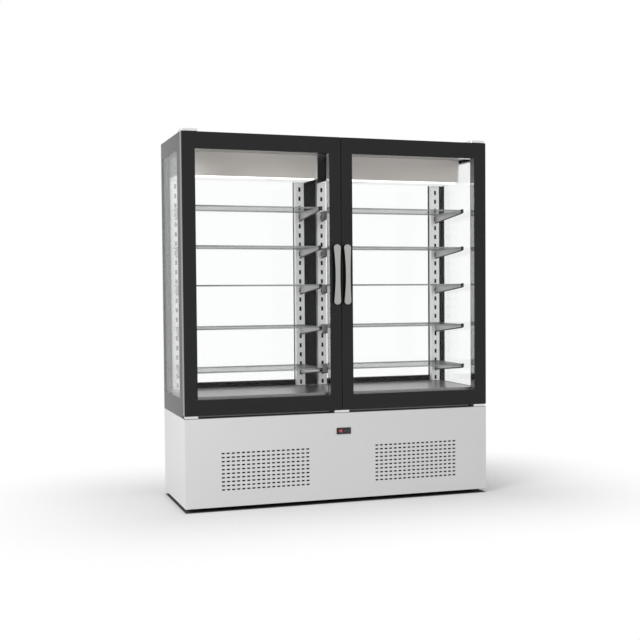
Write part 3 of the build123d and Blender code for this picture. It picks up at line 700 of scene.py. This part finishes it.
class DISPLAYCASE_OT_front_panel(bpy.types.Operator):
    """Front sheet of the base with its two fields of rounded slots"""
    bl_idname = "displaycase.front_panel"
    bl_label = "Front panel"

    def execute(self, context):
        sizes = context.scene.case_sizes
        panel = add_box("front_panel", panel_low, panel_high)
        apply_modifier(panel, "BEVEL", width=sizes.edge_bevel, segments=2)
        housing_low, housing_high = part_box("controller_housing")
        margin = 3 * MM
        opening = add_box(
            "controller_opening",
            (housing_low.x + margin, panel_low.y - margin, housing_low.z + margin),
            (housing_high.x - margin, panel_high.y + margin, housing_high.z - margin))
        cutters = [slot_cutter(sizes, side * sizes.field_x) for side in (-1, 1)]
        cutter = join([*cutters, opening], "slot_cutters")
        apply_modifier(panel, "BOOLEAN", operation="DIFFERENCE", object=cutter, solver="EXACT")
        bpy.data.objects.remove(cutter)
        dress(panel, "base_paint", "cabinet")
        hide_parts("base_front_panel")
        return {"FINISHED"}


class DISPLAYCASE_OT_slot_shade(bpy.types.Operator):
    """Dark pads behind the two fields of slots: painted shade for the inside of the base"""
    bl_idname = "displaycase.filters"
    bl_label = "Dust filters"

    def execute(self, context):
        sizes = context.scene.case_sizes
        half_x = (sizes.slot_columns + 1) * sizes.slot_pitch_x / 2
        half_z = (sizes.slot_rows + 1) * sizes.slot_pitch_z / 2
        front = panel_high.y + sizes.shade_pad_gap
        pads = []
        for side in (-1, 1):
            x = side * sizes.field_x
            pads.append(add_box("filter", (x - half_x, front, sizes.field_z - half_z),
                                (x + half_x, front + sizes.shade_pad_depth, sizes.field_z + half_z)))
        filters = join(pads, "dust_filters")
        apply_modifier(filters, "BEVEL", width=sizes.shade_pad_edge, segments=1)
        dress(filters, "filter_foam", "cabinet")
        return {"FINISHED"}


# Middle of each segment in half heights, and whether it lies flat
SEGMENTS = {
    "a": (0.0, 1.0, True), "b": (0.5, 0.5, False), "c": (0.5, -0.5, False), "d": (0.0, -1.0, True),
    "e": (-0.5, -0.5, False), "f": (-0.5, 0.5, False), "g": (0.0, 0.0, True),
}
# Shares of a digit's height or of a segment's thickness
DIGIT_ASPECT = 0.8
SEGMENT_SHARE = 0.125
SEGMENT_GAP = 0.4
SEGMENT_CORNER = 0.45
DIGITS = {"4": "bcfg", "0": "abcdef"}


class DISPLAYCASE_OT_display(bpy.types.Operator):
    """Lit digits in the controller's window"""
    bl_idname = "displaycase.display"
    bl_label = "Display digits"

    def execute(self, context):
        sizes = context.scene.case_sizes
        height = sizes.digit_height
        half = height / 2
        bar = height * SEGMENT_SHARE
        lift = sizes.digit_lift
        middle = (display_low + display_high) / 2
        front = display_low.y - lift
        pieces = []
        for place, text in ((-0.5, "4"), (0.5, "0")):
            for name in DIGITS[text]:
                x, z, flat = SEGMENTS[name]
                centre_x = (middle.x + sizes.digit_shift + place * sizes.digit_pitch
                            + x * half * DIGIT_ASPECT)
                centre_z = middle.z + z * half
                reach = (half * DIGIT_ASPECT if flat else half) / 2 - bar * SEGMENT_GAP
                half_x, half_z = (reach, bar / 2) if flat else (bar / 2, reach)
                segment = add_box(
                    "segment", (centre_x - half_x, front, centre_z - half_z),
                    (centre_x + half_x, display_low.y + lift, centre_z + half_z))
                choose(segment, "edges", runs_along(segment, 1))
                bpy.ops.mesh.bevel(offset=bar * SEGMENT_CORNER, segments=1)
                close_edit()
                pieces.append(segment)
        digits = join(pieces, "display_digits")
        dress(digits, "digits", "cabinet")
        return {"FINISHED"}


class DISPLAYCASE_OT_end_plates(bpy.types.Operator):
    """Bright plates with folded edges that close the ends of the header covers"""
    bl_idname = "displaycase.end_plates"
    bl_label = "Header end plates"

    def execute(self, context):
        sizes = context.scene.case_sizes
        lip = sizes.end_plate_lip
        plates = []
        for header in ("left_header", "right_header"):
            low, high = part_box(header)
            for x in (low.x, high.x - sizes.end_plate_width):
                plate = add_box("plate", (x, low.y - lip, low.z - lip),
                                (x + sizes.end_plate_width, high.y, high.z - lip))
                choose(plate, "polygons", lambda f: f.normal.y < -0.9)
                bpy.ops.mesh.inset(thickness=lip / 2, depth=lip / 2)
                close_edit()
                plates.append(plate)
        plates = join(plates, "header_end_plates")
        dress(plates, "end_plate_steel", "cabinet")
        return {"FINISHED"}


class DISPLAYCASE_OT_bracket_shade_strips(bpy.types.Operator):
    """Black strips along the lower edges of the shelf brackets: painted shade for the brackets' undersides
    """
    bl_idname = "displaycase.bracket_edging"
    bl_label = "Bracket edging"

    def execute(self, context):
        sizes = context.scene.case_sizes
        root_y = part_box("slotted_standards")[0].y
        half = sizes.shade_strip_size / 2
        strips = []
        for bay in ("left", "right"):
            low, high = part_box(bay + "_shelf_brackets")
            for x in (low.x + sizes.flange_width / 2, high.x - sizes.flange_width / 2):
                for level in SHELF_LEVELS:
                    tip_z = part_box(f"{bay}_shelf_{level}")[0].z - sizes.bracket_tip
                    # Black strip along a bracket's lower edge: painted shade
                    strip = add_box("edging", (x - half, low.y, tip_z - half),
                                    (x + half, root_y, tip_z + half))
                    choose(strip, "vertices", lambda v: v.co.y > (low.y + root_y) / 2)
                    bpy.ops.transform.translate(value=(0.0, 0.0, sizes.bracket_tip - sizes.bracket_root))
                    close_edit()
                    apply_modifier(strip, "BEVEL", width=sizes.shade_strip_size / 4, segments=2)
                    strips.append(strip)
        edging = join(strips, "bracket_edging")
        dress(edging, "cap_rubber", "cabinet")
        return {"FINISHED"}


# The rows of a handle end just before its round ends, and its waist ends there too
ROW_REACH = 0.98
WAIST_SPREAD = 1.12


def bowed_handle(sizes, name, low, high):
    """Band with round ends, a waist and a bow away from the door, standing on two posts."""
    middle = (low + high) / 2
    end_radius = (high.x - low.x) / 2
    half_length = (high.z - low.z) / 2
    bpy.ops.object.select_all(action="DESELECT")
    bpy.ops.mesh.primitive_cylinder_add(
        vertices=40, radius=end_radius, depth=sizes.handle_band,
        location=(middle.x, low.y + sizes.handle_band / 2, middle.z), rotation=(math.pi / 2, 0.0, 0.0))
    band = bpy.context.object
    settle(band)
    for side in (-1, 1):
        choose(band, "vertices", lambda v: (v.co.z - middle.z) * side > end_radius * 0.01)
        bpy.ops.transform.translate(value=(0.0, 0.0, side * (half_length - end_radius)))
        close_edit()
    row_step = (half_length - end_radius) / sizes.handle_rows * ROW_REACH
    for row in range(-sizes.handle_rows, sizes.handle_rows + 1):
        choose(band, "vertices", lambda v: True)
        level = middle.z + row * row_step
        bpy.ops.mesh.bisect(plane_co=(middle.x, middle.y, level), plane_no=(0.0, 0.0, 1.0))
        close_edit()
    levels = sorted({round(v.co.z, 5) for v in band.data.vertices})
    for level in levels:
        share = abs(level - middle.z) / half_length
        waist = min(1.0, sizes.handle_waist + (1.0 - sizes.handle_waist) * (share * WAIST_SPREAD) ** 2)
        choose(band, "vertices", lambda v: abs(v.co.z - level) < 0.01 * MM)
        bpy.ops.transform.resize(value=(waist, 1.0, 1.0), center_override=middle)
        bpy.ops.transform.translate(value=(0.0, sizes.handle_bow * share ** 2, 0.0))
        close_edit()
    apply_modifier(band, "BEVEL", width=sizes.handle_edge, segments=3, limit_method="ANGLE",
                   angle_limit=math.radians(50))
    front = low.y + sizes.handle_band
    posts = []
    for side in (-1, 1):
        bpy.ops.mesh.primitive_cylinder_add(
            vertices=28, radius=sizes.handle_post_radius, depth=high.y - front,
            location=(middle.x, (front + high.y) / 2, middle.z + side * sizes.handle_post_spacing / 2),
            rotation=(math.pi / 2, 0.0, 0.0))
        post = bpy.context.object
        settle(post)
        posts.append(post)
    handle = join([band, *posts], name)
    only(handle)
    bpy.ops.object.shade_smooth_by_angle(angle=math.radians(35))
    return handle


class DISPLAYCASE_OT_handles(bpy.types.Operator):
    """Bowed metal handles of the two doors"""
    bl_idname = "displaycase.handles"
    bl_label = "Door handles"

    def execute(self, context):
        sizes = context.scene.case_sizes
        left_low, left_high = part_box("left_door_handle")
        right_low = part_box("right_door_handle")[0]
        left = bowed_handle(sizes, "left_handle", left_low, left_high)
        right = copy_of(left, "right_handle", right_low - left_low)
        for handle, door in ((left, "left_door"), (right, "right_door")):
            dress(handle, "handle", door)
            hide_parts(door + "_handle")
        return {"FINISHED"}


# Widths of the rings on a screw head as shares of its radius, and its recess as a share of its height
SCREW_RINGS = (0.18, 0.28)
RECESS_DEPTH = 0.6


def screw_head(sizes, centre, outward):
    """Pan head with a round recess, facing outward."""
    bpy.ops.object.select_all(action="DESELECT")
    bpy.ops.mesh.primitive_cylinder_add(
        vertices=18, radius=sizes.screw_radius, depth=sizes.screw_height,
        location=(0.0, 0.0, sizes.screw_height / 2))
    head = bpy.context.object
    settle(head)
    choose(head, "polygons", lambda f: f.normal.z > 0.9)
    for share in SCREW_RINGS:
        bpy.ops.mesh.inset(thickness=sizes.screw_radius * share, depth=0.0)
    bpy.ops.mesh.extrude_region_move(
        TRANSFORM_OT_translate={"value": (0.0, 0.0, -sizes.screw_height * RECESS_DEPTH)})
    close_edit()
    turn = Vector((0.0, 0.0, 1.0)).rotation_difference(Vector(outward)).to_matrix().to_4x4()
    head.data.transform(Matrix.Translation(centre) @ turn)
    return head


class DISPLAYCASE_OT_screws(bpy.types.Operator):
    """Screws of the rear sheet and of the hinge plates"""
    bl_idname = "displaycase.screws"
    bl_label = "Screws"

    def execute(self, context):
        sizes = context.scene.case_sizes
        inset = sizes.screw_inset
        heads = []
        width = rear_high.x - rear_low.x - 2 * inset
        seat_y = rear_high.y - sizes.screw_height * sizes.screw_sunk
        for column in range(sizes.rear_screw_columns):
            x = rear_low.x + inset + column * width / (sizes.rear_screw_columns - 1)
            for z in (rear_low.z + inset, rear_high.z - inset):
                heads.append(screw_head(sizes, (x, seat_y, z), (0, 1, 0)))
        rear_screws = join(heads, "rear_sheet_screws")
        dress(rear_screws, "hinge_metal", "cabinet")
        plate_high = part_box("top_hinge_plates")[1]
        heads = []
        seat_z = plate_high.z - sizes.screw_height
        for side in (-1, 1):
            for row in (0, 1):
                for column in (0, 1):
                    x = side * (plate_high.x - 2 * inset - column * sizes.plate_screw_pitch)
                    y = plate_high.y - inset - row * sizes.plate_screw_pitch
                    heads.append(screw_head(sizes, (x, y, seat_z), (0, 0, 1)))
        plate_screws = join(heads, "hinge_plate_screws")
        dress(plate_screws, "zinc", "cabinet")
        return {"FINISHED"}


# Stage

def add_lamp(name, place, target, size, power):
    """Square soft light aimed at a point."""
    bpy.ops.object.select_all(action="DESELECT")
    bpy.ops.object.light_add(type="AREA", location=place)
    lamp = bpy.context.object
    lamp.name = name
    lamp.data.shape = "SQUARE"
    lamp.data.size = size
    lamp.data.energy = power
    lamp.rotation_euler = (Vector(target) - Vector(place)).to_track_quat("-Z", "Y").to_euler()
    return lamp


def white_sky(strength):
    """World that lights the object evenly and shows white to the eye, in glass and in gloss."""
    world = bpy.data.worlds.new("white_sky")
    bpy.context.scene.world = world
    world.use_nodes = True
    tree = world.node_tree
    tree.nodes.clear()
    path = tree.nodes.new("ShaderNodeLightPath")
    lit = tree.nodes.new("ShaderNodeBackground")
    lit.inputs["Strength"].default_value = strength
    seen = tree.nodes.new("ShaderNodeBackground")
    for background in (lit, seen):
        background.inputs["Color"].default_value = WHITE
    chosen = path.outputs["Is Camera Ray"]
    for other in ("Is Glossy Ray", "Is Transmission Ray"):
        either = tree.nodes.new("ShaderNodeMath")
        either.operation = "MAXIMUM"
        tree.links.new(chosen, either.inputs[0])
        tree.links.new(path.outputs[other], either.inputs[1])
        chosen = either.outputs[0]
    mixed = tree.nodes.new("ShaderNodeMixShader")
    output = tree.nodes.new("ShaderNodeOutputWorld")
    tree.links.new(chosen, mixed.inputs[0])
    tree.links.new(lit.outputs[0], mixed.inputs[1])
    tree.links.new(seen.outputs[0], mixed.inputs[2])
    tree.links.new(mixed.outputs[0], output.inputs["Surface"])


def pale_floor(low, high, reach):
    """Floor that looks white to the eye away from the object, keeps its soft shadow near it and is painted
    dark under the case as painted shadow.
    """
    g = Graph("pale_floor")
    place = g.place()
    middle = (low + high) / 2
    beyond = [
        (abs(g.axis(place, index) - middle[index]) - (high - low)[index] / 2).at_least(0.0)
        for index in (0, 1)
    ]
    away = (beyond[0] ** 2.0 + beyond[1] ** 2.0) ** 0.5
    outside = away.above(0.0)
    fade = (1.0 - (away / reach).clamped()) ** 1.6
    grain = g.noise(30.0, 2.0)
    # Nearly black floor colour under the case: painted shadow
    painted_shadow_under_case = (0.12, 0.12, 0.12, 1.0)
    speckle = g.colour_mix(grain, (0.79, 0.79, 0.79, 1.0), (0.83, 0.83, 0.83, 1.0))
    colour = g.colour_mix(outside, painted_shadow_under_case, speckle)
    lit = g.node("ShaderNodeBsdfPrincipled", {}, Base_Color=colour, Roughness=1.0, Specular_IOR_Level=0.0)
    white = g.node("ShaderNodeEmission", {}, Color=WHITE, Strength=1.0)
    rays = [g.node("ShaderNodeLightPath", {}, out=index)
            for index in (CAMERA_RAY, GLOSSY_RAY, TRANSMISSION_RAY)]
    seen = rays[0].at_least(rays[1]).at_least(rays[2])
    g.out(g.node("ShaderNodeMixShader", {}, seen * (1.0 - fade), lit, white))
    return g.material


class DISPLAYCASE_OT_stage(bpy.types.Operator):
    """Floor, lights, sky and camera"""
    bl_idname = "displaycase.stage"
    bl_label = "Stage"

    def execute(self, context):
        stage = context.scene.case_stage
        bpy.ops.object.select_all(action="DESELECT")
        bpy.ops.mesh.primitive_plane_add(size=stage.floor_size, location=(0.0, 0.0, cad_low.z))
        floor = bpy.context.object
        floor.name = "floor"
        settle(floor)
        floor.data.materials.append(pale_floor(panel_low, rear_high, stage.shadow_reach))
        white_sky(stage.sky)
        middle = (cad_low + cad_high) / 2
        add_lamp("key_light", stage.key_place, middle, stage.key_size, stage.key)
        add_lamp("fill_light", stage.fill_place, middle, stage.fill_size, stage.fill)
        bpy.ops.object.camera_add(location=stage.camera_place)
        camera = bpy.context.object
        camera.name = "camera"
        turn = (Matrix.Rotation(-stage.turn, 4, "Z") @ Matrix.Rotation(math.pi / 2 - stage.dip, 4, "X")
                @ Matrix.Rotation(stage.roll, 4, "Z"))
        camera.rotation_euler = turn.to_euler()
        camera.data.sensor_width = stage.film_width
        camera.data.lens = stage.focal_pixels / stage.frame_pixels * stage.film_width
        camera.data.shift_x, camera.data.shift_y = stage.shift
        camera.data.clip_end = 100.0
        context.scene.camera = camera
        context.scene.view_settings.view_transform = "Standard"
        context.scene.cycles.transparent_max_bounces = 32
        return {"FINISHED"}


class DISPLAYCASE_PT_panel(bpy.types.Panel):
    """Lists the steps that build the display case"""
    bl_idname = "DISPLAYCASE_PT_panel"
    bl_label = "Display case"
    bl_space_type = "VIEW_3D"
    bl_region_type = "UI"
    bl_category = "Display case"

    def draw(self, context):
        for step in STEPS:
            self.layout.operator(step.bl_idname)


STEPS = (
    DISPLAYCASE_OT_finishes,
    DISPLAYCASE_OT_front_panel,
    DISPLAYCASE_OT_slot_shade,
    DISPLAYCASE_OT_display,
    DISPLAYCASE_OT_end_plates,
    DISPLAYCASE_OT_bracket_shade_strips,
    DISPLAYCASE_OT_handles,
    DISPLAYCASE_OT_screws,
    DISPLAYCASE_OT_stage,
)
CLASSES = (CaseColours, CaseSizes, CaseStage, *STEPS, DISPLAYCASE_PT_panel)


def register():
    for made in CLASSES:
        bpy.utils.register_class(made)
    bpy.types.Scene.case_colours = bpy.props.PointerProperty(type=CaseColours)
    bpy.types.Scene.case_sizes = bpy.props.PointerProperty(type=CaseSizes)
    bpy.types.Scene.case_stage = bpy.props.PointerProperty(type=CaseStage)


def unregister():
    del bpy.types.Scene.case_stage
    del bpy.types.Scene.case_sizes
    del bpy.types.Scene.case_colours
    for made in reversed(CLASSES):
        bpy.utils.unregister_class(made)


def main():
    """Builds everything: the finishes, the new pieces and the stage."""
    register()
    bpy.ops.displaycase.finishes()
    bpy.ops.displaycase.front_panel()
    bpy.ops.displaycase.filters()
    bpy.ops.displaycase.display()
    bpy.ops.displaycase.end_plates()
    bpy.ops.displaycase.bracket_edging()
    bpy.ops.displaycase.handles()
    bpy.ops.displaycase.screws()
    bpy.ops.displaycase.stage()


if __name__ == "__main__":
    main()
